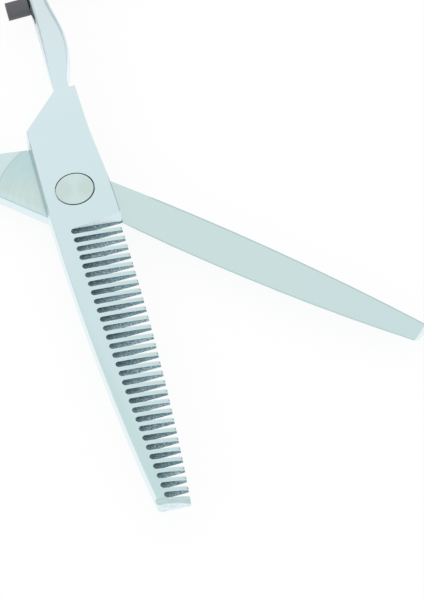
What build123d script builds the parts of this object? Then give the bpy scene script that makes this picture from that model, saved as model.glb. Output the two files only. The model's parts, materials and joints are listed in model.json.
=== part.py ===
from build123d import *
import math
import os

# Thinning shears: a comb blade and a cutting blade, each forged in one piece with its shank and finger
# ring, held by a flush-headed pivot screw with a thrust bearing and a click-stop tension dial.
#
# Millimetres and degrees. +Y runs from the pivot to the comb blade's tip, +Z is out of the comb
# blade's outer face. The origin is on the pivot axis, on the flat face of the pivot screw's head.
# Both members are drawn as they lie when the shears are closed. The cutting member and all that
# rides on it are then swung open about the pivot by rest_opening.

# ---------------------------------------------------------------- pose
rest_opening = 44.0

# ---------------------------------------------------------------- comb member, blade
blade_thickness = 2.25
comb_spine_x = 6.12
comb_spine_radius = 530.0
comb_spine_start_y = 10.0
comb_rear_spine_x = 5.68
comb_corner_y = -15.0
comb_taper_end_y = -23.0
heel_x = 6.5
heel_start_y = 3.0
tooth_tip_x = 5.98
tooth_tip_radius = 568.0
tooth_root_x = 2.91
tooth_root_radius = 980.0
tooth_tip_thickness = 0.65
comb_length = 69.15
comb_tip_skew = 0.35
comb_tip_corner = 0.8
slot_pitch = 2.0
slot_width = 1.16
first_slot_y = 9.04
tip_land = 2.0
tip_notch_depth = 0.3
tip_notch_width = 0.4
grind_bulge = 0.12
runout_length = 0.78
spine_wall_lean = 0.45
spine_wall_height = 2.1
spine_edge_break = 0.12
heel_end_round = 0.4

# ---------------------------------------------------------------- cutting member, blade
ride_gap = 0.05
cutter_thickness = 2.2
cutter_edge_heel_x = 1.15
cutter_edge_heel_y = 9.5
cutter_edge_belly_x = 1.62
cutter_edge_belly_y = 36.0
cutter_edge_tip_x = -0.2
cutter_length = 68.87
cutter_spine_heel_x = 5.8
cutter_spine_belly_x = 6.02
cutter_spine_belly_y = 31.0
cutter_spine_tip_x = 4.15
cutter_spine_heel_y = 6.0
cutter_corner_x = 4.9
cutter_corner_y = -13.4
cutter_taper_end_y = -23.3
cutter_tip_round = 0.45
cutter_edge_thickness = 0.12
cutter_flat_width = 1.3
cutter_grind_belly = 0.35
hollow_depth = 0.06
hollow_land = 0.45
hollow_start_y = 5.5
hollow_lead = 12.0

# ---------------------------------------------------------------- shanks and rings
shank_start_y = -20.0
comb_shank_edge_x = 5.7
comb_shank_width = 3.9
cutter_shank_edge_x = 6.4
cutter_shank_width = 4.3
shank_waist_width = 4.3
shank_thickness = 4.5
shank_edge_round = 0.3
shank_soft_round = 0.65
shank_waist_round = 1.7
shank_straight_share = 0.18
shank_waist_share = 0.45
shank_waist_end_share = 0.66
shank_shoulder_share = 0.84
ring_section_width = 4.6
ring_section_thickness = 5.0
finger_ring_bore = 22.0
finger_ring_y = -67.5
thumb_ring_bore = 23.0
thumb_ring_y = -60.0
ring_wall_x = 2.1
ring_shoulder = 8.5
ring_root_sink = 0.2
ring_root_share = 0.95

# ---------------------------------------------------------------- pivot screw and bearing
head_diameter = 7.0
head_thickness = 1.0
head_edge_break = 0.08
head_gap = 0.12
key_diameter = 5.2
key_flats = 4.3
shaft_diameter = 4.0
thread_diameter = 3.5
thread_flats = 2.9
running_gap = 0.03
seat_gap = 0.01
bush_wall = 0.8
ride_washer_diameter = 9.6
ride_washer_recess = 0.4
race_diameter = 8.6
race_bore = 5.2
race_thickness = 0.3
race_recess = 0.7
race_groove = 0.08
ball_diameter = 0.8
ball_count = 10
cage_thickness = 0.3
cage_side_gap = 0.15
pressure_washer_thickness = 0.4
spring_sheet = 0.2
spring_rise = 0.2
click_plate_diameter = 8.0
click_plate_thickness = 0.3
click_bump_radius = 0.4
click_bump_height = 0.06
click_circle = 6.4
click_stops = 12
click_dimple_diameter = 0.5
click_dimple_depth = 0.12
click_count = 2
dial_gap = 0.02
dial_diameter = 9.6
dial_thickness = 1.8
dial_flutes = 18
dial_flute_radius = 0.4
dial_edge_break = 0.25
dial_nut_diameter = 5.6
dial_nut_thickness = 1.0
cap_head_diameter = 4.4
cap_head_thickness = 0.45
cap_recess_gap = 0.2
cap_shank_diameter = 1.6
cap_shank_length = 2.2
cap_slot_width = 0.5
cap_slot_depth = 0.25

# ---------------------------------------------------------------- handle fittings
insert_wall = 1.1
insert_lip = 0.9
insert_land = 2.4
bumper_y = -46.0
bumper_diameter = 3.4
bumper_stem_diameter = 1.8
bumper_stem_length = 2.0
bumper_touch_gap = 0.1
rest_stud_diameter = 2.5
rest_stud_length = 2.4
rest_root_diameter = 4.2
rest_tip_diameter = 3.0
rest_ball_diameter = 3.7
rest_sections = 5
rest_length = 17.0
rest_bend = 38.0
rest_collar_diameter = 5.0
rest_collar_thickness = 0.8
rest_seat_depth = 0.35

# ---------------------------------------------------------------- places worked out from the sizes above
comb_ride_z = -blade_thickness
cutter_ride_z = comb_ride_z - ride_gap
cutter_back_z = cutter_ride_z - cutter_thickness
ball_circle = (race_diameter + race_bore) / 2
slot_count = 1 + math.floor((comb_length - tip_land - first_slot_y) / slot_pitch)
handle_mid_z = -shank_thickness / 2
key_bottom_z = comb_ride_z
washer_floor_z = cutter_ride_z - ride_washer_recess
race_top_z = cutter_back_z + race_recess
race_face_z = race_top_z - race_thickness
ball_mid_z = race_face_z + race_groove - ball_diameter / 2
pressure_top_z = ball_mid_z - ball_diameter / 2 + race_groove
pressure_bottom_z = pressure_top_z - pressure_washer_thickness
spring_bottom_z = pressure_bottom_z - spring_sheet - spring_rise
click_bottom_z = spring_bottom_z - click_plate_thickness
dial_top_z = click_bottom_z - dial_gap
dial_bottom_z = dial_top_z - dial_thickness
nut_bottom_z = dial_top_z - dial_nut_thickness
thread_end_z = nut_bottom_z - seat_gap

comb_handle_side = -1
cutter_handle_side = 1


def along_y(x, y, z):
    """A plane across the shears at y, with its own x along +X and its own y along +Z."""
    return Plane(origin=(x, y, z), x_dir=(1, 0, 0), z_dir=(0, -1, 0))


def sag(radius, run):
    """How far a circle of this radius has dropped away from its tangent after a run along it."""
    return radius - math.sqrt(radius**2 - run**2)


def spine_at(y):
    return comb_spine_x - sag(comb_spine_radius, max(0, y - comb_spine_start_y))


def tooth_tip_at(y):
    return -tooth_tip_x + sag(tooth_tip_radius, y - first_slot_y)


def tooth_root_at(y):
    return tooth_root_x - sag(tooth_root_radius, y - first_slot_y)


def rounded_corner(start, corner, end):
    """A quarter round between two points that lie equally far from a square corner."""
    share = 1 - math.sqrt(0.5)
    middle_x = corner[0] + share * (start[0] + end[0] - 2 * corner[0])
    middle_y = corner[1] + share * (start[1] + end[1] - 2 * corner[1])
    return ThreePointArc(start, (middle_x, middle_y), end)


def disc(diameter, top, bottom):
    """A plain disc on the pivot axis between two heights."""
    return Pos(0, 0, (top + bottom) / 2) * Cylinder(diameter / 2, top - bottom)


def two_flats(diameter, flats, top, bottom):
    """A disc with two flats along Y, the form that keys the screw and its washers together."""
    sides = Pos(0, 0, (top + bottom) / 2) * Box(flats, 2 * diameter, top - bottom)
    return disc(diameter, top, bottom) & sides


# ---------------------------------------------------------------- comb member
def comb_plate():
    """The flat blank of the comb blade: heel, tip, spine and the taper into the shank."""
    edge = -comb_shank_edge_x
    slot_edge = first_slot_y - slot_width / 2
    end = comb_length
    tip = (tooth_tip_at(end), end)
    spine_end_y = end - comb_tip_skew - comb_tip_corner
    corner_x = spine_at(spine_end_y)
    heel_end_x = -heel_x + heel_end_round
    taper_end = (edge + comb_shank_width, comb_taper_end_y)
    with BuildLine() as outline:
        Line((edge, comb_taper_end_y), (edge, comb_corner_y))
        Spline((edge, comb_corner_y), (-heel_x, heel_start_y), tangents=[(0, 1), (0, 1)])
        Line((-heel_x, heel_start_y), (-heel_x, slot_edge - heel_end_round))
        rounded_corner((-heel_x, slot_edge - heel_end_round), (-heel_x, slot_edge), (heel_end_x, slot_edge))
        Line((heel_end_x, slot_edge), (-tooth_tip_x, first_slot_y))
        middle = (first_slot_y + end) / 2
        ThreePointArc((-tooth_tip_x, first_slot_y), (tooth_tip_at(middle), middle), tip)
        Line(tip, (corner_x - comb_tip_corner, end - comb_tip_skew))
        rounded_corner(
            (corner_x - comb_tip_corner, end - comb_tip_skew),
            (corner_x, end - comb_tip_skew),
            (corner_x, spine_end_y),
        )
        middle = (comb_spine_start_y + spine_end_y) / 2
        spine_start = (comb_spine_x, comb_spine_start_y)
        ThreePointArc((corner_x, spine_end_y), (spine_at(middle), middle), spine_start)
        Line(spine_start, (comb_spine_x, 0))
        Line((comb_spine_x, 0), (comb_rear_spine_x, comb_corner_y))
        Line((comb_rear_spine_x, comb_corner_y), taper_end)
        Line(taper_end, (edge, comb_taper_end_y))
    return extrude(make_face(outline.line), amount=-blade_thickness)


def spine_edges(plate):
    """The edges along the spine side of the blank's outer face, from the tip to the rear corner."""
    top = plate.edges().filter_by_position(Axis.Z, 0, 0)
    return [e for e in top if e.center().X > 3.0 and e.center().Y > comb_corner_y and e.length > 3]


def lean_spine(plate):
    """Leans the spine's side wall inwards and breaks the edge where it meets the outer face."""
    face = plate.faces().sort_by(Axis.Z)[-1]
    plate = chamfer(spine_edges(plate), spine_wall_lean, spine_wall_height, reference=face)
    return chamfer(spine_edges(plate), spine_edge_break)


def comb_grind():
    """What the convex grind takes off the outer face: nothing at the roots, most at the tips."""
    drop = blade_thickness - tooth_tip_thickness
    over = 2.0
    sections = []
    for share in (-0.07, 0.33, 0.68, 1.04):
        y = first_slot_y + share * (comb_length - first_slot_y)
        root = tooth_root_at(y)
        tip = tooth_tip_at(y)
        slope = drop / (root - tip)
        with BuildSketch(along_y(0, y, 0)) as section:
            with BuildLine():
                ThreePointArc((root, 0), ((root + tip) / 2, -drop / 2 + grind_bulge), (tip, -drop))
                Line((tip, -drop), (tip - over, -drop - over * slope))
                Line((tip - over, -drop - over * slope), (tip - over, over))
                Line((tip - over, over), (root, over))
                Line((root, over), (root, 0))
            make_face()
        sections.append(section.sketch)
    return loft(sections) - grind_runout(drop)


def grind_runout(drop):
    """The ramp where the grinding wheel left the blade, from nothing at the root of the first slot."""
    slot_edge = first_slot_y - slot_width / 2
    root = Vector(tooth_root_at(first_slot_y), slot_edge, 0)
    lip = Vector(-tooth_tip_x, slot_edge - runout_length, 0)
    foot = Vector(-tooth_tip_x, slot_edge, -drop)
    size = comb_length
    ramp = Plane(origin=root, x_dir=root - lip, z_dir=(foot - root).cross(lip - root))
    return ramp * Pos(0, 0, -size / 2) * Box(size, size, size)


def slot_cutters():
    """Every gap between the teeth, square to the blade, with a round root."""
    reach = tooth_tip_x + heel_x
    slots = Sketch()
    for number in range(slot_count):
        y = first_slot_y + number * slot_pitch
        centre = tooth_root_at(y) - slot_width / 2
        slots += Pos(centre, y) * Circle(slot_width / 2)
        slots += Pos(centre - reach / 2, y) * Rectangle(reach, slot_width)
    return Pos(0, 0, -2 * blade_thickness) * extrude(slots, amount=3 * blade_thickness)


def tip_notches():
    """The small vee in the end of each tooth, which holds the hair while it is cut."""
    notches = Sketch()
    for number in range(slot_count - 1):
        y = first_slot_y + (number + 0.5) * slot_pitch
        tip = tooth_tip_at(y)
        half = tip_notch_width / 2
        out = tip - tip_notch_width
        deep = tip + tip_notch_depth
        near = y - half
        far = y + half
        vee = Polyline((out, near), (tip, near), (deep, y), (tip, far), (out, far), close=True)
        notches += make_face(vee)
    return Pos(0, 0, -2 * blade_thickness) * extrude(notches, amount=3 * blade_thickness)


def handle(side, edge_x, width, ring_bore, ring_y):
    """A shank that rounds off towards the hand and runs into its finger ring."""
    mean = (ring_bore + ring_section_width) / 2
    ring_x = side * (ring_wall_x + ring_section_width / 2 + mean)
    start_x = side * (edge_x - width / 2)
    wall_x = side * (ring_wall_x + shank_waist_width / 2)
    shoulder_x = side * (ring_wall_x + ring_shoulder / 2)
    root_width = ring_section_width - 2 * ring_root_sink
    root_thickness = ring_section_thickness - 2 * ring_root_sink
    span = ring_y - shank_start_y
    stations = (
        (0, start_x, width, shank_thickness, shank_edge_round),
        (shank_straight_share, start_x, width, shank_thickness, shank_soft_round),
        (shank_waist_share, wall_x, shank_waist_width, shank_thickness, shank_waist_round),
        (shank_waist_end_share, wall_x, shank_waist_width, shank_thickness, shank_waist_round),
        (shank_shoulder_share, shoulder_x, ring_shoulder, shank_thickness, shank_waist_round),
        (1, ring_x - side * mean, root_width, root_thickness, ring_root_share * root_width / 2),
    )
    sections = []
    for share, x, wide, thick, rounding in stations:
        plane = along_y(x, shank_start_y + share * span, handle_mid_z)
        sections.append(plane * RectangleRounded(wide, thick, rounding))
    shank = loft(sections)
    inside = Pos(ring_x, ring_y, handle_mid_z) * Cylinder(mean - 2 * ring_root_sink, 3 * shank_thickness)
    return shank - inside, ring_oval(ring_x, ring_y, mean, 0), ring_x, mean


def ring_oval(x, y, mean, grown):
    """A finger ring of oval section, or the same grown all over to cut a seat for its insert.

    Its seam faces away from the shank, so that no edge of the shank runs along it.
    """
    oval = Ellipse(ring_section_width / 2 + grown, ring_section_thickness / 2 + grown)
    section = Plane.XZ * Pos(mean, 0) * oval
    away = 0 if x > 0 else 180
    return Pos(x, y, handle_mid_z) * Rot(Z=away) * revolve(section, Axis.Z)


comb_shank, finger_ring, finger_ring_x, finger_ring_mean = handle(
    comb_handle_side, comb_shank_edge_x, comb_shank_width, finger_ring_bore, finger_ring_y
)
cutter_shank, thumb_ring, thumb_ring_x, thumb_ring_mean = handle(
    cutter_handle_side, cutter_shank_edge_x, cutter_shank_width, thumb_ring_bore, thumb_ring_y
)


def rest_plane():
    """Where the finger rest stands on the back of the finger ring, pointing away from it."""
    return Plane(
        origin=(finger_ring_x, finger_ring_y - finger_ring_mean - ring_section_width / 2, handle_mid_z),
        x_dir=(1, 0, 0),
        z_dir=(0, -1, 0),
    )


def bumper_face_x():
    """The inner side of the comb shank, where the bumper sits."""
    return comb_handle_side * ring_wall_x


def comb_member():
    blade = lean_spine(comb_plate()) - comb_grind() - slot_cutters() - tip_notches()
    blade -= disc(head_diameter + 2 * head_gap, 1, -head_thickness)
    blade -= two_flats(key_diameter + 2 * seat_gap, key_flats + 2 * seat_gap, 1, comb_ride_z - 1)
    stem = Pos(bumper_face_x(), bumper_y, handle_mid_z) * Rot(Y=90) * Cylinder(
        bumper_stem_diameter / 2 + seat_gap, 2 * bumper_stem_length
    )
    return blade + (comb_shank - stem) + (finger_ring - rest_seat())


def rest_seat():
    """The flat and the tapped hole for the finger rest, milled into the back of the finger ring."""
    hole = Pos(0, 0, -rest_stud_length / 2) * Cylinder(rest_stud_diameter / 2 + seat_gap, rest_stud_length)
    flat = Pos(0, 0, rest_collar_diameter / 2 - rest_seat_depth) * Cylinder(
        rest_collar_diameter / 2 + seat_gap, rest_collar_diameter
    )
    return rest_plane() * (hole + flat)


# ---------------------------------------------------------------- cutting member
def cutter_plate():
    edge = cutter_shank_edge_x
    heel = (cutter_edge_heel_x, cutter_edge_heel_y)
    tip_y = cutter_length - cutter_tip_round
    edge_tip = (cutter_edge_tip_x, tip_y)
    spine_tip = (-cutter_spine_tip_x, tip_y)
    edge_corner_x = cutter_edge_tip_x - cutter_tip_round
    spine_corner_x = -cutter_spine_tip_x + cutter_tip_round
    taper_end = (edge - cutter_shank_width, cutter_taper_end_y)
    with BuildLine() as outline:
        Line((edge, cutter_taper_end_y), (edge, 0))
        Spline((edge, 0), heel, tangents=[(0, 1), (-0.2, 1)])
        ThreePointArc(heel, (cutter_edge_belly_x, cutter_edge_belly_y), edge_tip)
        rounded_corner(edge_tip, (cutter_edge_tip_x, cutter_length), (edge_corner_x, cutter_length))
        Line((edge_corner_x, cutter_length), (spine_corner_x, cutter_length))
        rounded_corner((spine_corner_x, cutter_length), (-cutter_spine_tip_x, cutter_length), spine_tip)
        ThreePointArc(
            spine_tip,
            (-cutter_spine_belly_x, cutter_spine_belly_y),
            (-cutter_spine_heel_x, cutter_spine_heel_y),
        )
        Line((-cutter_spine_heel_x, cutter_spine_heel_y), (-cutter_corner_x, cutter_corner_y))
        Line((-cutter_corner_x, cutter_corner_y), taper_end)
        Line(taper_end, (edge, cutter_taper_end_y))
    face = Pos(0, 0, cutter_ride_z) * make_face(outline.line)
    return extrude(face, amount=-cutter_thickness)


def cutter_edge_at(y):
    """The cutting edge's place across the blade, on the arc through its heel, belly and tip."""
    tip_y = cutter_length - cutter_tip_round
    points = (
        (cutter_edge_heel_y, cutter_edge_heel_x),
        (cutter_edge_belly_y, cutter_edge_belly_x),
        (tip_y, cutter_edge_tip_x),
    )
    return quadratic(points, y)


def cutter_spine_at(y):
    tip_y = cutter_length - cutter_tip_round
    points = (
        (cutter_spine_heel_y, -cutter_spine_heel_x),
        (cutter_spine_belly_y, -cutter_spine_belly_x),
        (tip_y, -cutter_spine_tip_x),
    )
    return quadratic(points, y)


def quadratic(points, y):
    """The parabola through three points, which is as good as the arc for so long a radius."""
    total = 0
    for index, (own_y, own_x) in enumerate(points):
        term = own_x
        for other, (other_y, _) in enumerate(points):
            if other != index:
                term *= (y - other_y) / (own_y - other_y)
        total += term
    return total


def cutter_grind():
    """The convex outer face, ground from the flat of the back up to the cutting edge."""
    over = 1.0
    rise = cutter_thickness - cutter_edge_thickness
    sections = []
    for y in (cutter_edge_heel_y - 2 * over, cutter_edge_belly_y, cutter_length + 2 * over):
        edge = cutter_edge_at(y)
        flat = cutter_spine_at(y) + cutter_flat_width
        slope = rise / (edge - flat)
        past = edge + cutter_shank_edge_x + over
        with BuildSketch(along_y(0, y, cutter_back_z)) as section:
            with BuildLine():
                ThreePointArc((flat, 0), ((flat + edge) / 2, cutter_grind_belly * rise), (edge, rise))
                Line((edge, rise), (edge + over, rise + over * slope))
                Line((edge + over, rise + over * slope), (past, rise + over * slope))
                Line((past, rise + over * slope), (past, -over))
                Line((past, -over), (flat, -over))
                Line((flat, -over), (flat, 0))
            make_face()
        sections.append(section.sketch)
    return loft(sections)


def cutter_hollow():
    """The shallow hollow ground into the ride face, which leaves a flat land along each side.

    It deepens slowly from its start, which the comb blade covers.
    """
    over = 1.0
    sections = []
    full_y = hollow_start_y + hollow_lead
    end_y = cutter_length + over
    for y, depth in ((hollow_start_y, hollow_depth / 20), (full_y, hollow_depth), (end_y, hollow_depth)):
        edge = cutter_edge_at(y) - hollow_land
        back = cutter_spine_at(y) + hollow_land
        with BuildSketch(along_y(0, y, cutter_ride_z)) as section:
            with BuildLine():
                ThreePointArc((edge, 0), ((edge + back) / 2, -depth), (back, 0))
                Line((back, 0), (back, over))
                Line((back, over), (edge, over))
                Line((edge, over), (edge, 0))
            make_face()
        sections.append(section.sketch)
    return loft(sections)


def cutting_member():
    plate = cutter_plate()
    blade = plate - cutter_grind() - cutter_hollow()
    member = blade + cutter_shank + thumb_ring
    member -= disc(ride_washer_diameter + 2 * seat_gap, cutter_ride_z + 1, washer_floor_z)
    member -= disc(race_diameter + 2 * seat_gap, race_top_z, cutter_back_z - 1)
    member -= disc(shaft_diameter + 2 * running_gap + 2 * bush_wall + 2 * seat_gap, 1, cutter_back_z - 1)
    return member


# ---------------------------------------------------------------- pivot
def pivot_screw():
    head = disc(head_diameter, 0, -head_thickness)
    head = chamfer(head.edges().group_by(Axis.Z)[-1], head_edge_break)
    neck = two_flats(key_diameter, key_flats, -head_thickness, key_bottom_z)
    shaft = disc(shaft_diameter, key_bottom_z, race_face_z)
    thread = two_flats(thread_diameter, thread_flats, race_face_z, thread_end_z)
    screw = head + neck + shaft + thread
    socket = disc(cap_shank_diameter + 2 * seat_gap, thread_end_z + cap_shank_length, thread_end_z - 1)
    return screw - socket


def ride_washer():
    bore = shaft_diameter + 4 * running_gap
    top = comb_ride_z - seat_gap
    return disc(ride_washer_diameter, top, washer_floor_z) - disc(bore, 1, cutter_back_z)


def pivot_bush():
    bore = shaft_diameter + 2 * running_gap
    return disc(bore + 2 * bush_wall, washer_floor_z, race_top_z) - disc(bore, 1, cutter_back_z)


def ball_groove():
    """The ring of round section that the balls run in, cut into both races."""
    return Pos(0, 0, ball_mid_z) * Torus(ball_circle / 2, ball_diameter / 2 + seat_gap)


def bearing_race():
    return disc(race_diameter, race_top_z, race_face_z) - disc(race_bore, 1, cutter_back_z) - ball_groove()


def ring_of_balls(diameter):
    return PolarLocations(ball_circle / 2, ball_count) * Sphere(diameter / 2)


def bearing_balls():
    return Compound(children=[Pos(0, 0, ball_mid_z) * ball for ball in ring_of_balls(ball_diameter)])


def ball_cage():
    pocket = Circle(ball_diameter / 2 + running_gap)
    pockets = PolarLocations(ball_circle / 2, ball_count) * pocket
    ring = Circle(race_diameter / 2 - cage_side_gap) - Circle(race_bore / 2 + cage_side_gap) - pockets
    return extrude(Pos(0, 0, ball_mid_z - cage_thickness / 2) * ring, amount=cage_thickness)


def keyed_hole():
    play = 2 * running_gap
    return two_flats(thread_diameter + play, thread_flats + play, 1, dial_bottom_z - 1)


def pressure_washer():
    washer = disc(race_diameter, pressure_top_z, pressure_bottom_z)
    return washer - keyed_hole() - ball_groove()


def spring_washer():
    """A dished spring that keeps the blades pressed together."""
    inner = thread_diameter / 2 + 2 * running_gap
    outer = race_diameter / 2
    high = pressure_bottom_z - seat_gap
    low = spring_bottom_z + seat_gap
    rim = ((outer, high), (outer, high - spring_sheet))
    hub = ((inner, low), (inner, low + spring_sheet))
    return revolve(Plane.XZ * make_face(Polyline(*rim, *hub, close=True)), Axis.Z)


def click_plate():
    plate = disc(click_plate_diameter, spring_bottom_z, click_bottom_z) - keyed_hole()
    ball = Pos(0, 0, click_bottom_z - click_bump_height + click_bump_radius) * Sphere(click_bump_radius)
    below = disc(2 * click_bump_radius, spring_bottom_z - click_plate_thickness / 2, dial_bottom_z)
    for place in PolarLocations(click_circle / 2, click_count):
        plate += place * (ball & below)
    return plate


def tension_dial():
    dial = disc(dial_diameter, dial_top_z, dial_bottom_z)
    dial = chamfer(dial.edges(), dial_edge_break)
    flute = Pos(0, 0, (dial_top_z + dial_bottom_z) / 2) * Cylinder(dial_flute_radius, 2 * dial_thickness)
    for place in PolarLocations(dial_diameter / 2, dial_flutes):
        dial -= place * flute
    dimple_z = dial_top_z - click_dimple_depth / 2
    dimple = Pos(0, 0, dimple_z) * Cone(0, click_dimple_diameter / 2, click_dimple_depth)
    for place in PolarLocations(click_circle / 2, click_stops):
        dial -= place * dimple
    dial -= disc(dial_nut_diameter, dial_top_z + 1, nut_bottom_z)
    return dial - disc(cap_head_diameter + 2 * cap_recess_gap, dial_top_z, dial_bottom_z - 1)


def dial_nut():
    nut = disc(dial_nut_diameter - 2 * seat_gap, dial_top_z, nut_bottom_z)
    return nut - disc(thread_diameter + 2 * running_gap, 1, dial_bottom_z - 1)


def cap_screw():
    """The small slotted screw in the end of the pivot screw, which stops the dial coming off."""
    head_end_z = thread_end_z - cap_head_thickness
    head = disc(cap_head_diameter, thread_end_z, head_end_z)
    shank = disc(cap_shank_diameter, thread_end_z + cap_shank_length, thread_end_z)
    slot = Pos(0, 0, head_end_z) * Box(2 * cap_head_diameter, cap_slot_width, 2 * cap_slot_depth)
    return head + shank - slot


# ---------------------------------------------------------------- handle fittings
def ring_insert(x, y, mean):
    """A soft liner that narrows the ring: a straight bore inside, and lips that grip the oval."""
    bore = mean - ring_section_width / 2 - insert_wall
    half = ring_section_thickness / 2
    reach = bore + insert_wall + insert_lip
    profile = make_face(
        Polyline(
            (bore, -insert_land / 2),
            (bore, insert_land / 2),
            (bore + insert_wall, half),
            (reach, half),
            (reach, -half),
            (bore + insert_wall, -half),
            close=True,
        )
    )
    liner = Pos(x, y, handle_mid_z) * revolve(Plane.XZ * profile, Axis.Z)
    return liner - ring_oval(x, y, mean, seat_gap)


def bumper():
    """A soft stop in the comb shank, which the cutting shank meets as the shears close."""
    face = bumper_face_x()
    length = 2 * ring_wall_x - bumper_touch_gap
    turn = Rot(Y=90)
    pad = Pos(face + length / 2, bumper_y, handle_mid_z) * turn * Cylinder(bumper_diameter / 2, length)
    stem = Pos(face - bumper_stem_length / 2, bumper_y, handle_mid_z) * turn * Cylinder(
        bumper_stem_diameter / 2, bumper_stem_length
    )
    return pad + stem


def finger_rest():
    """A curved rest for the little finger, screwed into the back of the finger ring."""
    stand = rest_plane()
    depth = rest_seat_depth
    stud = stand * Pos(0, 0, -rest_stud_length / 2) * Cylinder(rest_stud_diameter / 2, rest_stud_length)
    collar_mid = rest_collar_thickness / 2 - depth + seat_gap
    collar = stand * Pos(0, 0, collar_mid) * Cylinder(rest_collar_diameter / 2, rest_collar_thickness)
    radius = rest_length / math.radians(rest_bend)
    sections = []
    for number in range(rest_sections):
        share = number / (rest_sections - 1)
        turn = rest_bend * share
        size = rest_root_diameter + share * (rest_tip_diameter - rest_root_diameter)
        aside = -sag(radius, radius * math.sin(math.radians(turn)))
        place = stand * Pos(aside, 0, collar_mid + radius * math.sin(math.radians(turn))) * Rot(Y=-turn)
        sections.append(place * Circle(size / 2))
    return stud + collar + loft(sections) + place * Sphere(rest_ball_diameter / 2)


# ---------------------------------------------------------------- assembly
swung = Rot(Z=rest_opening)

nodes = {
    "comb_member": comb_member(),
    "pivot_screw": pivot_screw(),
    "pressure_washer": pressure_washer(),
    "spring_washer": spring_washer(),
    "click_plate": click_plate(),
    "cap_screw": cap_screw(),
    "finger_insert": ring_insert(finger_ring_x, finger_ring_y, finger_ring_mean),
    "bumper": bumper(),
    "finger_rest": finger_rest(),
    "cutting_member": swung * cutting_member(),
    "ride_washer": swung * ride_washer(),
    "pivot_bush": swung * pivot_bush(),
    "bearing_race": swung * bearing_race(),
    "ball_cage": swung * ball_cage(),
    "bearing_balls": swung * bearing_balls(),
    "thumb_insert": swung * ring_insert(thumb_ring_x, thumb_ring_y, thumb_ring_mean),
    "tension_dial": tension_dial(),
    "dial_nut": dial_nut(),
}

os.makedirs("parts", exist_ok=True)
for name, solid in nodes.items():
    export_step(solid, f"parts/{name}.step")
    box = solid.bounding_box()
    print(name, "solids", len(solid.solids()), "volume", round(solid.volume, 3), "size", box.size)
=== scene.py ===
# %% [markdown]
# # Thinning shears
# A pair of hair thinning shears lies open: a comb blade over a plain cutting blade, held by a flush
# pivot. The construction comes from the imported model, so this lesson is about how ground steel,
# brass and soft rubber look, and about the soft, pale light that such a tool is shown in.
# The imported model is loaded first. Every later place is worked out from it.

# %% Load the frame
import json
import math

import bpy
import bmesh
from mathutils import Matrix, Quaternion, Vector


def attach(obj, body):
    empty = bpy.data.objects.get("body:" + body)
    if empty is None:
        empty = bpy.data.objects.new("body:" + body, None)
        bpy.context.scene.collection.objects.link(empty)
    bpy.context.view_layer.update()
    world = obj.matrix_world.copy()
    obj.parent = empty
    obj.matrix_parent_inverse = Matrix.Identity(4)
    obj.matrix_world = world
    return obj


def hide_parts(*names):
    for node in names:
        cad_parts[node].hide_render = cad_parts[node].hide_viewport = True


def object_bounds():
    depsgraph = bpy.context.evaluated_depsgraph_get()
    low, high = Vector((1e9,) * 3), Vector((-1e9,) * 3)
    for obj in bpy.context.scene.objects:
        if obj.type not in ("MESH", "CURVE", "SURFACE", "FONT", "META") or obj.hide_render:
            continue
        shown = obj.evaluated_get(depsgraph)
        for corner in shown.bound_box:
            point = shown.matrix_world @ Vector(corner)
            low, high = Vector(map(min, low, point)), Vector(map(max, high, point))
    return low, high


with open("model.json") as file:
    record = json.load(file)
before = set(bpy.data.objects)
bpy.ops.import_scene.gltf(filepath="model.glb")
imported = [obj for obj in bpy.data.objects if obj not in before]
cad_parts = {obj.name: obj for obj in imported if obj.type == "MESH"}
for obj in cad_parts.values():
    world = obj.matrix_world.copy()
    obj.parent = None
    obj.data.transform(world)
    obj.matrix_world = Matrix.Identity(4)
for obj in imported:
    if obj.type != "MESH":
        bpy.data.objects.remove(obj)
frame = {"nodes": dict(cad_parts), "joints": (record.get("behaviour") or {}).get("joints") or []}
cad_box = [[float(number) for number in corner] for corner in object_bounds()]
node = frame["nodes"]
mm = 0.001
low, high = (Vector(corner) for corner in cad_box)
print("packed model", [round(side / mm, 1) for side in high - low], "mm")

# %% [markdown]
# The looks are tuned under a plain view transform, so that a colour renders about as it is written.

# %% View settings
scene = bpy.context.scene
scene.view_settings.view_transform = "Standard"
print("view transform", scene.view_settings.view_transform)

# %% [markdown]
# The shears are seen from beyond the blade tips, looking down at them from a little over half way up.
# A long lens keeps the blades from converging. The camera is placed from the point it looks at, its
# height angle, its turn round the shears, and a small roll.

# %% Camera
look_at = Vector((-16.905, 31.357, 0.0)) * mm
camera_distance = 583.4 * mm
camera_elevation = math.radians(54.746)
camera_turn = math.radians(82.2335)
camera_roll = math.radians(-9.226)

toward_camera = Vector((
    math.cos(camera_elevation) * math.cos(camera_turn),
    math.cos(camera_elevation) * math.sin(camera_turn),
    math.sin(camera_elevation),
))
camera_data = bpy.data.cameras.new("camera")
camera_data.lens = 201.7
camera_data.sensor_width = 36.0
camera_data.clip_start = 10 * mm
camera = bpy.data.objects.new("camera", camera_data)
scene.collection.objects.link(camera)
camera.location = look_at + camera_distance * toward_camera
aim = (-toward_camera).to_track_quat("-Z", "Y")
camera.rotation_mode = "QUATERNION"
camera.rotation_quaternion = aim @ Quaternion((0, 0, 1), camera_roll)
scene.camera = camera
print("camera stands", round(camera_distance / mm), "mm away")

# %% [markdown]
# Shader maths reads best as plain sums. This class wraps a socket, so that `1 - mask * 0.5` adds the
# Math nodes by itself.

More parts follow.
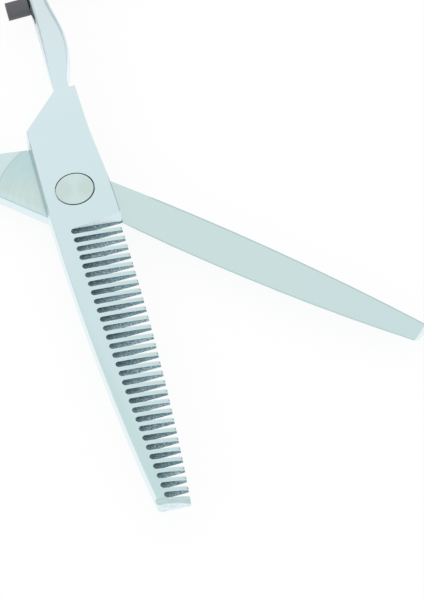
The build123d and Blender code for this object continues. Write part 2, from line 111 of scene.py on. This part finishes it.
# %% Shader maths
class Wire:
    """A number or vector that flows between shader nodes."""

    def __init__(self, finish, socket):
        self.finish = finish
        self.socket = socket

    def math(self, operation, *values, clamp=False):
        settings = {"operation": operation, "use_clamp": clamp}
        return self.finish.node("ShaderNodeMath", settings, values)

    def __add__(self, other):
        return self.math("ADD", self, other)

    def __sub__(self, other):
        return self.math("SUBTRACT", self, other)

    def __mul__(self, other):
        return self.math("MULTIPLY", self, other)

    def __truediv__(self, other):
        return self.math("DIVIDE", self, other)

    def __rsub__(self, other):
        return self.math("SUBTRACT", other, self)

    __radd__ = __add__
    __rmul__ = __mul__

    def abs(self):
        return self.math("ABSOLUTE", self)

    def sin(self):
        return self.math("SINE", self)

    def root(self):
        return self.math("SQRT", self)

    def max(self, other):
        return self.math("MAXIMUM", self, other)

    def min(self, other):
        return self.math("MINIMUM", self, other)

    def fraction(self):
        return self.math("FRACT", self)

    def above(self, level, soft):
        """0 below the level and 1 above it, with a soft step of this width."""
        return self.math("MULTIPLY_ADD", self, 1 / soft, 0.5 - level / soft, clamp=True)

    def below(self, level, soft):
        return 1 - self.above(level, soft)

    def parts(self):
        split = self.finish.tree.nodes.new("ShaderNodeSeparateXYZ")
        self.finish.link(self, split.inputs[0])
        return [Wire(self.finish, out) for out in split.outputs]


print("sums of sockets become Math nodes")

# %% [markdown]
# `Finish` holds the nodes of one material, or of a world. It adds any node from its type, its
# settings and its inputs, so that the code of a finish reads from top to bottom.

# %% Shader nodes
class Finish:
    """The nodes of one material, or of a world, and the nodes that they most often need."""

    def __init__(self, name, library=bpy.data.materials, output="ShaderNodeOutputMaterial"):
        self.material = library.new(name)
        self.material.use_nodes = True
        self.tree = self.material.node_tree
        self.tree.nodes.clear()
        self.output = self.tree.nodes.new(output)

    @property
    def place(self):
        return self.node("ShaderNodeTexCoord", output="Object")

    @property
    def normal(self):
        return self.node("ShaderNodeTexCoord", output="Normal")

    def link(self, value, socket):
        if isinstance(value, Wire):
            self.tree.links.new(value.socket, socket)
        else:
            socket.default_value = value

    def node(self, kind, settings=None, values=(), output=0):
        made = self.tree.nodes.new(kind)
        for name, setting in (settings or {}).items():
            setattr(made, name, setting)
        pairs = values.items() if isinstance(values, dict) else enumerate(values)
        for name, value in pairs:
            self.link(value, made.inputs[name])
        return Wire(self, made.outputs[output])

    def noise(self, size, detail, stretch=(1, 1, 1), roughness=0.5, place=None):
        """Smooth noise whose blotches are about this many metres across, stretched along an axis."""
        scale = tuple(1 / (size * part) for part in stretch)
        place = place or self.place
        spot = self.node("ShaderNodeVectorMath", {"operation": "MULTIPLY"}, [place, scale])
        values = {"Vector": spot, "Scale": 1.0, "Detail": detail, "Roughness": roughness}
        return self.node("ShaderNodeTexNoise", {}, values, output="Fac")

    def mix(self, mask, first, second):
        """One colour where the mask is 0 and another where it is 1."""
        made = self.tree.nodes.new("ShaderNodeMix")
        made.data_type = "RGBA"
        self.link(mask, made.inputs[0])
        self.link(first, made.inputs[6])
        self.link(second, made.inputs[7])
        return Wire(self, made.outputs[2])

    def tone(self, colour, amount):
        """A colour made lighter or darker by a number that varies round 1."""
        grey = self.node("ShaderNodeCombineXYZ", {}, [amount, amount, amount])
        if not isinstance(colour, Wire):
            colour = colour[:3]
        return self.node("ShaderNodeVectorMath", {"operation": "MULTIPLY"}, [colour, grey])

    def bump(self, height, depth, strength):
        values = {"Height": height, "Distance": depth, "Strength": strength}
        return self.node("ShaderNodeBump", {}, values)

    def shade(self, **inputs):
        """Ends the material in a Principled shader with these inputs, named with underscores."""
        values = {name.replace("_", " "): value for name, value in inputs.items()}
        return self.end(self.node("ShaderNodeBsdfPrincipled", {}, values))

    def end(self, shader):
        self.link(shader, self.output.inputs["Surface"])
        return self.material


print("a finish adds its nodes by their types")

# %% [markdown]
# Colours are written as they look on a screen, from 0 to 255, and turned into the linear numbers
# that light is worked out with.

# %% Colours
def srgb(red, green, blue):
    """A colour given as it looks, from 0 to 255, as the linear colour that shaders use."""
    def linear(value):
        value /= 255
        return value / 12.92 if value <= 0.04045 else ((value + 0.055) / 1.055) ** 2.4

    return (linear(red), linear(green), linear(blue), 1.0)


def paint(material, *names):
    """Gives a CAD node its finish."""
    for name in names:
        slots = node[name].data.materials
        slots.clear()
        slots.append(material)
    print(material.name, "on", ", ".join(names))


print("middle grey is", round(srgb(128, 128, 128)[0], 3), "in linear numbers")

# %% [markdown]
# The shears lie in an even, pale light: a white world, a little dimmer towards the horizon, so that
# rounded steel shows its form. What the camera itself sees of the world is plain white.

# %% White world
white = (1.0, 1.0, 1.0, 1.0)
horizon_tint = (0.55, 0.57, 0.59, 1.0)
horizon_fade = 0.45

sky = Finish("studio", bpy.data.worlds, "ShaderNodeOutputWorld")
height = sky.node("ShaderNodeTexCoord", output="Generated").parts()[2]
dome = sky.mix(height.above(horizon_fade / 2, horizon_fade), horizon_tint, white)
seen = sky.node("ShaderNodeLightPath", output="Is Camera Ray")
dome = sky.mix(seen, dome, white)
scene.world = sky.end(sky.node("ShaderNodeBackground", {}, {"Color": dome, "Strength": 1.0}))
print("world", scene.world.name, "with", len(sky.tree.nodes), "nodes")

# %% [markdown]
# The floor is white paper. To the camera, and in what the steel mirrors, most of its white is a glow
# of strength 1, as on a light table, and the rest is matt paper, which carries the soft shadow.

# %% Floor
floor_gap = 0.02 * mm
floor_half = 1.5
glow_share = 0.9
paper_white = srgb(252, 253, 253)

floor_mesh = bpy.data.meshes.new("floor")
sheet = bmesh.new()
bmesh.ops.create_grid(sheet, x_segments=1, y_segments=1, size=floor_half)
bmesh.ops.translate(sheet, verts=sheet.verts, vec=(0, 0, low.z - floor_gap))
sheet.to_mesh(floor_mesh)
sheet.free()
floor = bpy.data.objects.new("floor", floor_mesh)
scene.collection.objects.link(floor)

paper = Finish("paper")
direct = paper.node("ShaderNodeLightPath", output="Is Camera Ray")
mirrored = paper.node("ShaderNodeLightPath", output="Is Glossy Ray")
through = paper.node("ShaderNodeLightPath", output="Is Transmission Ray")
matt = paper.node("ShaderNodeBsdfDiffuse", {}, {"Color": paper_white})
glow = paper.node("ShaderNodeEmission", {}, {"Color": white, "Strength": 1.0})
glow_mask = glow_share * direct.max(mirrored).max(through)
floor.data.materials.append(paper.end(paper.node("ShaderNodeMixShader", {}, [glow_mask, matt, glow])))
print("floor lies", round(floor_gap / mm, 3), "mm under the shears")

# %% [markdown]
# One square lamp stands to the side, as a softbox beside a light table would. It is weak next to the
# white world: it only gives the rounded steel a brighter side.

# %% Lamp
lamp_offset = Vector((0.5, 0.3, 0.35))
lamp_size = 0.35
lamp_watts = 0.5


def softbox(name, place, aim_at, size, power):
    """A large square lamp that looks at a point."""
    lamp = bpy.data.lights.new(name, "AREA")
    lamp.shape = "SQUARE"
    lamp.size = size
    lamp.energy = power
    holder = bpy.data.objects.new(name, lamp)
    scene.collection.objects.link(holder)
    holder.location = place
    holder.rotation_mode = "QUATERNION"
    holder.rotation_quaternion = (aim_at - place).to_track_quat("-Z", "Y")
    print(name, "lamp is", round((place - aim_at).length, 2), "m away")


middle = (low + high) / 2
softbox("key", middle + lamp_offset, middle, lamp_size, lamp_watts)

# %% [markdown]
# The comb blade is ground steel: satin on its broad face, a little paler towards the handle, and
# polished on its side walls, its shank and its ring. A face tells what it is by which way its normal
# points and by where along the blade it lies, so one material finishes the whole forging.

# %% Ground steel
face_level, face_soft = 0.86, 0.08
polish_rough = 0.12
satin_rough_varies = 0.05
brush_size = 0.3 * mm
brush_stretch = (1, 14, 1)
brush_depth, brush_strength = 0.003 * mm, 0.6
shank_start = -21.5 * mm
handle_start, handle_soft = -34 * mm, 14 * mm
wall_colour = srgb(229, 244, 248)
handle_colour = srgb(214, 228, 232)


def broad_face(up):
    """1 on the faces that lie flat and 0 on the walls."""
    return up.abs().above(face_level, face_soft)


def brushed_lines(steel, place=None):
    """The fine lines that the grinding wheel leaves along a blade."""
    return steel.noise(brush_size, detail=3, stretch=brush_stretch, place=place)


def ground_steel(steel, colour, flat, along, satin, satin_rough, extra_rough=0.0):
    """Ends a forging's steel: polished on its walls and its handle, satin on the face of its blade."""
    handle = along.below(shank_start, 2 * mm)
    colour = steel.mix(handle * along.below(handle_start, handle_soft), colour, handle_colour)
    on_satin = 1 - (1 - flat).max(handle)
    rough = polish_rough + satin_rough * on_satin + satin_rough_varies * satin + extra_rough
    lines = steel.bump(satin * on_satin, brush_depth, brush_strength)
    return steel.shade(Base_Color=colour, Metallic=1.0, Roughness=rough, Normal=lines)


print("broad faces are those whose normal rises over", face_level)

# %% [markdown]
# The comb's broad face is a little greyer towards its tip. A greyer strip widens along its spine, a
# hair of painted contact shadow darkens the edge of its heel, and its tip is scuffed from being put down.

# %% Comb face colours
comb_handle_end = srgb(214, 232, 236)
comb_tip_end = srgb(200, 223, 224)
comb_tip_y = 69.15 * mm
spine_x = 6.12 * mm
spine_radius = 530 * mm
spine_start_y = 10 * mm
spine_strip = srgb(194, 218, 219)
strip_flare, strip_flare_y = 0.055, 12 * mm
strip_soft = 1.4 * mm
strip_start_y, strip_start_soft = 16 * mm, 8 * mm
strip_weight = 0.5
heel_x = 6.5 * mm
shank_edge_x, shank_edge_y = 5.7 * mm, -20 * mm
heel_flare = 0.8 / 23
heel_contact_shadow = srgb(138, 164, 173)
heel_line_width, heel_line_soft = 0.14 * mm, 0.12 * mm
heel_line_start, heel_line_end = 0, 7.4 * mm
heel_line_weight = 0.8
tip_scuff = srgb(178, 198, 197)
scuff_size = 0.9 * mm
scuff_start_y = 67.4 * mm
scuff_weight = 0.55
cloud_size, cloud_tone = 11 * mm, 0.025


def comb_face(steel, x, y):
    """The satin face: paler to the handle, with a greyer strip that widens along the spine."""
    length = comb_tip_y - shank_start
    fade = y.above(shank_start + length / 2, length)
    colour = steel.mix(fade, comb_handle_end, comb_tip_end)
    beyond = (y - spine_start_y).max(0)
    inset = spine_x - beyond * beyond / (2 * spine_radius) - x
    strip_edge = strip_flare * (y - strip_flare_y).max(0)
    strip = (inset - strip_edge).below(0, strip_soft) * y.above(strip_start_y, strip_start_soft)
    cloud = steel.noise(cloud_size, detail=2)
    colour = steel.mix(strip_weight * strip, colour, spine_strip)
    # painted contact shadow: a dark hair along the edge of the heel, where the cutting blade lies behind
    heel_edge = (shank_edge_x + heel_flare * (y - shank_edge_y)).min(heel_x)
    on_edge = (heel_edge + x).below(heel_line_width, heel_line_soft)
    on_edge = on_edge * y.above(heel_line_start, 3 * mm) * y.below(heel_line_end, 0.4 * mm)
    colour = steel.mix(heel_line_weight * on_edge, colour, heel_contact_shadow)
    scuff = steel.noise(scuff_size, detail=3, stretch=(1.6, 0.6, 1), roughness=0.65)
    scuffed = y.above(scuff_start_y, 0.4 * mm) * scuff.above(0.5, 0.15)
    colour = steel.mix(scuff_weight * scuffed, colour, tip_scuff)
    return steel.tone(colour, 0.985 + cloud_tone * cloud)


print("the comb's face fades over", round((comb_tip_y - shank_start) / mm, 1), "mm")

# %% [markdown]
# The slots were cut with a thin wheel, and nobody polishes inside them. Their walls carry painted
# shade, dark at the root and paler towards the mouth, are flecked where the wheel chattered, and no two
# slots are alike.

# %% Slot walls
slot_root_shade = srgb(84, 112, 121)
slot_mouth = srgb(126, 156, 166)
slot_fleck = srgb(200, 224, 231)
slot_dark = srgb(46, 68, 78)
first_slot = 9.04 * mm
slot_pitch = 2.0 * mm
root_line_x = 2.91 * mm
root_line_radius = 980 * mm
slot_length = 8.89 * mm
slot_varies = 0.6
chatter_size = 0.24 * mm
fleck_level, fleck_weight = 0.56, 0.75
scratch_level, scratch_weight = 0.44, 0.6


def slot_share(x, y):
    """0 at the root of the slots and 1 at their mouths."""
    past = y - first_slot
    outward = root_line_x - past * past / (2 * root_line_radius) - x
    return outward / slot_length


def slot_wall(steel, share):
    """Painted shade, dark at the root and paler at the mouth, with pale flecks and dark scratches."""
    varied = steel.noise(slot_pitch, detail=0, stretch=(60, 1, 60))
    # painted shade: darker towards the root of each slot, where it is deepest
    depth = steel.mix((share + slot_varies * (varied - 0.5)).above(0.3, 0.7), slot_root_shade, slot_mouth)
    chatter = steel.noise(chatter_size, detail=3, stretch=(1.5, 1, 0.8), roughness=0.75)
    fleck = (chatter + 0.25 * (varied - 0.5)).above(fleck_level, 0.1) * share.above(0.1, 0.2)
    scratch = chatter.below(scratch_level, 0.08)
    flecked = steel.mix(fleck_weight * fleck, depth, slot_fleck)
    return steel.mix(scratch_weight * scratch, flecked, slot_dark)


print("slots every", round(slot_pitch / mm, 2), "mm,", round(slot_length / mm, 2), "mm long")

# %% [markdown]
# Each tooth's hollow-ground face goes a little greyer towards its point, with a hair of painted
# highlight along one side.

# %% Tooth faces
tooth_highlight = srgb(216, 232, 233)
tooth_grey = srgb(196, 214, 214)
slots_from, slots_to = 8.4 * mm, 67.7 * mm
strip_from, strip_to = 0.28, 0.37
grey_weight, pale_weight = 0.55, 0.7


def among_slots(y):
    """1 along the toothed length of the blade."""
    return y.above(slots_from, 0.1 * mm) * y.below(slots_to, 0.1 * mm)


def tooth_face(steel, colour, share, y):
    """The face of the teeth: each has its strip at the same share of the pitch."""
    within = ((y - first_slot) / slot_pitch).fraction()
    # painted highlight: a pale strip at the same place on every tooth
    strip = within.above(strip_from, 0.03) * within.below(strip_to, 0.06)
    toothed = share.above(0.12, 0.2) * among_slots(y)
    colour = steel.mix(grey_weight * toothed * share.above(0.6, 0.9), colour, tooth_grey)
    return steel.mix(pale_weight * toothed * strip, colour, tooth_highlight)


print("teeth between", round(slots_from / mm, 1), "and", round(slots_to / mm, 1), "mm")

# %% [markdown]
# All of it is put together here. The wall of the spine is given a greyer stretch beside the pivot,
# where it stands over the cutting blade: a painted reflection of that blade. That stretch is painted by
# place, so it stays where it is when the blades swing, and so does the painted shadow on the end wall of
# the heel.

# %% Comb steel
heel_shadow = srgb(44, 60, 66)
blade_reflection_paint = srgb(182, 200, 206)
over_cutter_from, over_cutter_to = -13 * mm, 3 * mm
heel_end_x = -5.8 * mm
heel_end_from, heel_end_to = 7.6 * mm, 9 * mm
knock_start_y = 68.6 * mm
knock_weight = 0.28
comb_satin_rough = 0.14
slot_rough = 0.3


def comb_steel():
    steel = Finish("comb_steel")
    x, y = steel.place.parts()[:2]
    across, along, up = steel.normal.parts()
    share = slot_share(x, y)
    flat = broad_face(up)
    face = tooth_face(steel, comb_face(steel, x, y), share, y)
    # painted reflection of the cutting blade on the spine's wall
    reflected_stretch = y.above(over_cutter_from, 0.8 * mm) * y.below(over_cutter_to, 1.2 * mm)
    side = steel.mix(across.above(0.6, 0.2) * reflected_stretch, wall_colour, blade_reflection_paint)
    knock = steel.noise(0.7 * mm, detail=3, roughness=0.7).above(0.52, 0.1)
    side = steel.mix(knock_weight * knock * y.above(knock_start_y, 0.3 * mm), side, tip_scuff)
    # painted shadow: the heel's end wall facing the tip is made near black
    heel_end = y.above(heel_end_from, 0.2 * mm) * y.below(heel_end_to, 0.2 * mm)
    heel_end = heel_end * x.below(heel_end_x, 0.3 * mm)
    facing_tip = along.above(0.2, 0.1) * up.abs().below(0.3, 0.08)
    side = steel.mix(heel_end * facing_tip, side, heel_shadow)
    colour = steel.mix(flat, side, face)
    walls = among_slots(y) * up.abs().below(0.4, 0.1) * across.below(0.5, 0.1)
    colour = steel.mix(walls, colour, slot_wall(steel, share))
    return ground_steel(steel, colour, flat, y, brushed_lines(steel), comb_satin_rough, slot_rough * walls)


paint(comb_steel(), "comb_member")

# %% [markdown]
# The cutting blade was ground flat on a wheel too. Its finish is worked out in its own directions,
# along and across the blade, which lies swung open. The opening is read from the pivot's own limit,
# because the blade meets the comb there.

# %% Cutting blade directions
pivot_joint = next(joint for joint in frame["joints"] if joint["name"] == "blade_pivot")
opening = math.radians(-pivot_joint["range_deg"][0])
print("the blades lie open by", round(math.degrees(opening)), "degrees")


def along_cutter(x, y):
    """Places or directions across and along the cutting blade."""
    across = x * math.cos(opening) + y * math.sin(opening)
    along = y * math.cos(opening) - x * math.sin(opening)
    return across, along


def through_points(along, first, second, third):
    """The smooth outline through three (along, across) points, as sums on the place along it."""
    rise = (second[1] - first[1]) / (second[0] - first[0])
    next_rise = (third[1] - second[1]) / (third[0] - second[0])
    bend = (next_rise - rise) / (third[0] - first[0]) / mm
    from_first = along - first[0] * mm
    return first[1] * mm + rise * from_first + bend * from_first * (along - second[0] * mm)


# %% [markdown]
# Round the pivot the blade has a ground land, where it rubs on the comb blade: greener, with fine
# lines that curve round the pivot. Behind it the face is paler. Along both edges of the blade a
# hair-thin darker line shows where the grinding ends.

# %% Cutting blade steel
ride_heel = srgb(203, 223, 222)
ride_tip = srgb(201, 222, 222)
land_teal = srgb(191, 216, 218)
land_green = srgb(202, 221, 217)
behind_colour = srgb(208, 228, 230)
edge_line = srgb(160, 184, 192)
land_rim = srgb(180, 203, 208)
land_radius = 15 * mm
shank_side = 6.4 * mm
land_from_y = -3 * mm
tip_fade_y, tip_fade_soft = 45 * mm, 50 * mm
land_turn, land_turn_soft = -3.5 * mm, 7 * mm
rim_weight, border_weight, side_line_weight = 0.5, 0.6, 0.7
rim_width, rim_soft = 0.35 * mm, 0.3 * mm
border_width, border_soft = 1.3 * mm, 0.8 * mm
side_line_width = 0.25 * mm
arc_size, arc_tone = 0.3 * mm, 0.22
spine_points = (6.0, 5.8), (31.0, 6.02), (68.87, 4.15)
edge_points = (9.5, 1.15), (36.0, 1.62), (68.87, -0.2)
spine_line_width, edge_line_width, line_soft = 0.26 * mm, 0.2 * mm, 0.14 * mm
line_start_y = 12 * mm
line_weight = 0.6
cutter_satin_rough = 0.16


def ride_face(steel, bx, by, radius):
    """The face that the comb rubs on, from its places across, along and out from the pivot."""
    colour = steel.mix(by.above(tip_fade_y, tip_fade_soft), ride_heel, ride_tip)
    behind = by.below(land_from_y, 3 * mm)
    land = steel.mix((bx + 0.5 * by).above(land_turn, land_turn_soft), land_teal, land_green)
    on_rim = (radius - land_radius).abs().below(rim_width, rim_soft)
    land = steel.mix(on_rim * rim_weight, land, land_rim)
    colour = steel.mix(behind * radius.below(land_radius, rim_soft), colour, land)
    colour = steel.mix(behind * radius.above(land_radius, rim_soft), colour, behind_colour)
    arcs = steel.node("ShaderNodeCombineXYZ", {}, [radius, 0.04 * bx, 0.0])
    brushed = steel.noise(arc_size, detail=3, place=arcs)
    inside = shank_side - bx
    border = inside.below(border_width, border_soft) * border_weight
    colour = steel.mix(behind * border, colour, behind_colour)
    side_line = inside.below(side_line_width, side_line_width) * side_line_weight
    colour = steel.mix(behind * side_line, colour, land_rim)
    on_land = behind * radius.below(land_radius + 1 * mm, 2 * mm)
    colour = steel.tone(colour, 1 + arc_tone * on_land * (brushed - 0.5))
    from_spine = bx + through_points(by, *spine_points)
    from_edge = through_points(by, *edge_points) - bx
    line = from_spine.below(spine_line_width, line_soft).max(from_edge.below(edge_line_width, line_soft))
    return steel.mix(line_weight * line * by.above(line_start_y, 1 * mm), colour, edge_line)


def cutter_steel():
    steel = Finish("cutter_steel")
    x, y, z = steel.place.parts()
    flat = broad_face(steel.normal.parts()[2])
    bx, by = along_cutter(x, y)
    radius = (x * x + y * y).root()
    colour = steel.mix(flat, wall_colour, ride_face(steel, bx, by, radius))
    spot = steel.node("ShaderNodeCombineXYZ", {}, [bx, by, z])
    satin = brushed_lines(steel, place=spot)
    return ground_steel(steel, colour, flat, by, satin, cutter_satin_rough)


paint(cutter_steel(), "cutting_member")

# %% [markdown]
# The pivot screw's flat head was turned on a lathe. Fine rings run round it, and a soft pale fan with a
# pale centre, a painted highlight, crosses its middle. The rim in the narrow gap to the blade and the
# head's outer edge are painted dark on their side towards the teeth, as painted shade. The fan and the
# dark side are painted by place and don't follow the light.

# %% Pivot screw
screw_highlight = srgb(208, 227, 226)
screw_green = srgb(202, 219, 216)
screw_rim_shade = srgb(52, 74, 80)
ring_spacing = 0.12 * mm
fan_turn = math.radians(9)
rim_turn = math.radians(35)
smallest_radius = 0.1 * mm
centre_radius, centre_soft = 0.6 * mm, 0.8 * mm
edge_radius, edge_soft = 3.36 * mm, 0.06 * mm
ring_tone, ring_depth, ring_strength = 0.01, 0.003 * mm, 0.5
fan_level, fan_soft = 0.8, 0.5
dark_side_level, dark_side_soft = -0.15, 0.7
screw_rough = 0.26


def turned_steel():
    steel = Finish("turned_steel")
    x, y = steel.place.parts()[:2]
    up = steel.normal.parts()[2]
    radius = (x * x + y * y).root()
    rings = (radius * (2 * math.pi / ring_spacing)).sin()
    away = radius.max(smallest_radius)
    # painted highlight: a pale fan across the middle and a pale centre
    fan_along = (y * math.cos(fan_turn) + x * math.sin(fan_turn)) / away
    fan = fan_along.abs().above(fan_level, fan_soft)
    centre = radius.below(centre_radius, centre_soft)
    colour = steel.mix(fan.max(centre), screw_green, screw_highlight)
    # painted shade: the rim and outer edge darkened on the side towards the teeth
    toward_teeth = (y * math.cos(rim_turn) - x * math.sin(rim_turn)) / away
    rim = up.abs().below(0.9, 0.1) * toward_teeth.above(dark_side_level, dark_side_soft)
    satin = steel.noise(0.2 * mm, detail=2)
    dark_edge = radius.above(edge_radius, edge_soft) * toward_teeth.above(0.1, 0.9)
    turned = steel.tone(colour, 1 - ring_tone + ring_tone * rings)
    return steel.shade(
        Base_Color=steel.mix(rim.max(dark_edge), turned, screw_rim_shade),
        Metallic=1.0,
        Roughness=screw_rough + 0.06 * satin,
        Normal=steel.bump(rings, ring_depth, ring_strength),
    )


paint(turned_steel(), "pivot_screw", "cap_screw")

# %% [markdown]
# Under the cutting blade sit the bearing, the springs and the tension dial. They are small parts of
# plain steel and brass, each a little clouded from handling, and differ mostly in colour and polish.

# %% Small metal parts
def plain_metal(name, colour, rough):
    metal = Finish(name)
    cloud = metal.noise(1.5 * mm, detail=3)
    scuff = metal.noise(0.12 * mm, detail=3, stretch=(1, 5, 1))
    return metal.shade(
        Base_Color=metal.tone(colour, 0.95 + 0.1 * cloud),
        Metallic=1.0,
        Roughness=rough + 0.08 * cloud + 0.05 * scuff,
        Normal=metal.bump(scuff, 0.002 * mm, 0.3),
    )


polished_steel = plain_metal("polished_steel", srgb(214, 224, 228), 0.1)
washer_steel = plain_metal("washer_steel", srgb(192, 202, 206), 0.26)
spring_steel = plain_metal("spring_steel", srgb(132, 142, 160), 0.32)
brass = plain_metal("brass", srgb(216, 186, 118), 0.24)
paint(polished_steel, "tension_dial", "bearing_balls")
paint(washer_steel, "pressure_washer", "click_plate", "bearing_race")
paint(spring_steel, "spring_washer")
paint(brass, "pivot_bush", "ball_cage", "dial_nut")
print("finished", len(bpy.data.materials), "materials so far")

# %% [markdown]
# The liners of the rings, the bumper and the plastic washer are matt, with a fine moulded skin. The
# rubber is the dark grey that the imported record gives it. None of it is pure black, so that its form
# still reads.

# %% Rubber and plastic
def moulded(name, colour, rough):
    skin = Finish(name)
    speck = skin.noise(0.15 * mm, detail=3)
    cloud = skin.noise(4 * mm, detail=2)
    return skin.shade(
        Base_Color=skin.tone(colour, 0.9 + 0.1 * cloud + 0.1 * speck),
        Roughness=rough + 0.12 * speck,
        Normal=skin.bump(speck, 0.008 * mm, 0.4),
    )


liner_rubber = moulded("liner_rubber", srgb(97, 101, 104), 0.5)
bumper_rubber = moulded("bumper_rubber", srgb(89, 89, 93), 0.5)
paint(moulded("washer_plastic", srgb(226, 229, 226), 0.4), "ride_washer")

# %% [markdown]
# A moulded liner and a bent, polished rest have no flats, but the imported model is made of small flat
# triangles. Each of these pieces gets a copy whose triangles are joined into one skin and shaded
# round. Edges that turn sharply, such as a lip, stay crisp.

# %% Rounded pieces
merge_distance = 0.001 * mm
crisp_angle = math.radians(35)


def rounded_copy(name, body, material):
    """Stands a smooth-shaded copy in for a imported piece."""
    skin = bmesh.new()
    skin.from_mesh(node[name].data)
    bmesh.ops.remove_doubles(skin, verts=skin.verts, dist=merge_distance)
    for face in skin.faces:
        face.smooth = True
        face.material_index = 0
    for edge in skin.edges:
        edge.smooth = edge.calc_face_angle(0) < crisp_angle
    open_edges = sum(1 for edge in skin.edges if not edge.is_manifold)
    mesh = bpy.data.meshes.new(name + "_rounded")
    skin.to_mesh(mesh)
    skin.free()
    mesh.materials.append(material)
    piece = bpy.data.objects.new(name + "_rounded", mesh)
    scene.collection.objects.link(piece)
    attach(piece, body)
    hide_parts(name)
    print(name, "has", len(mesh.polygons), "faces and", open_edges, "open edges")


rounded_copy("finger_insert", "comb", liner_rubber)
rounded_copy("thumb_insert", "cutter", liner_rubber)
rounded_copy("bumper", "comb", bumper_rubber)
rounded_copy("finger_rest", "comb", polished_steel)
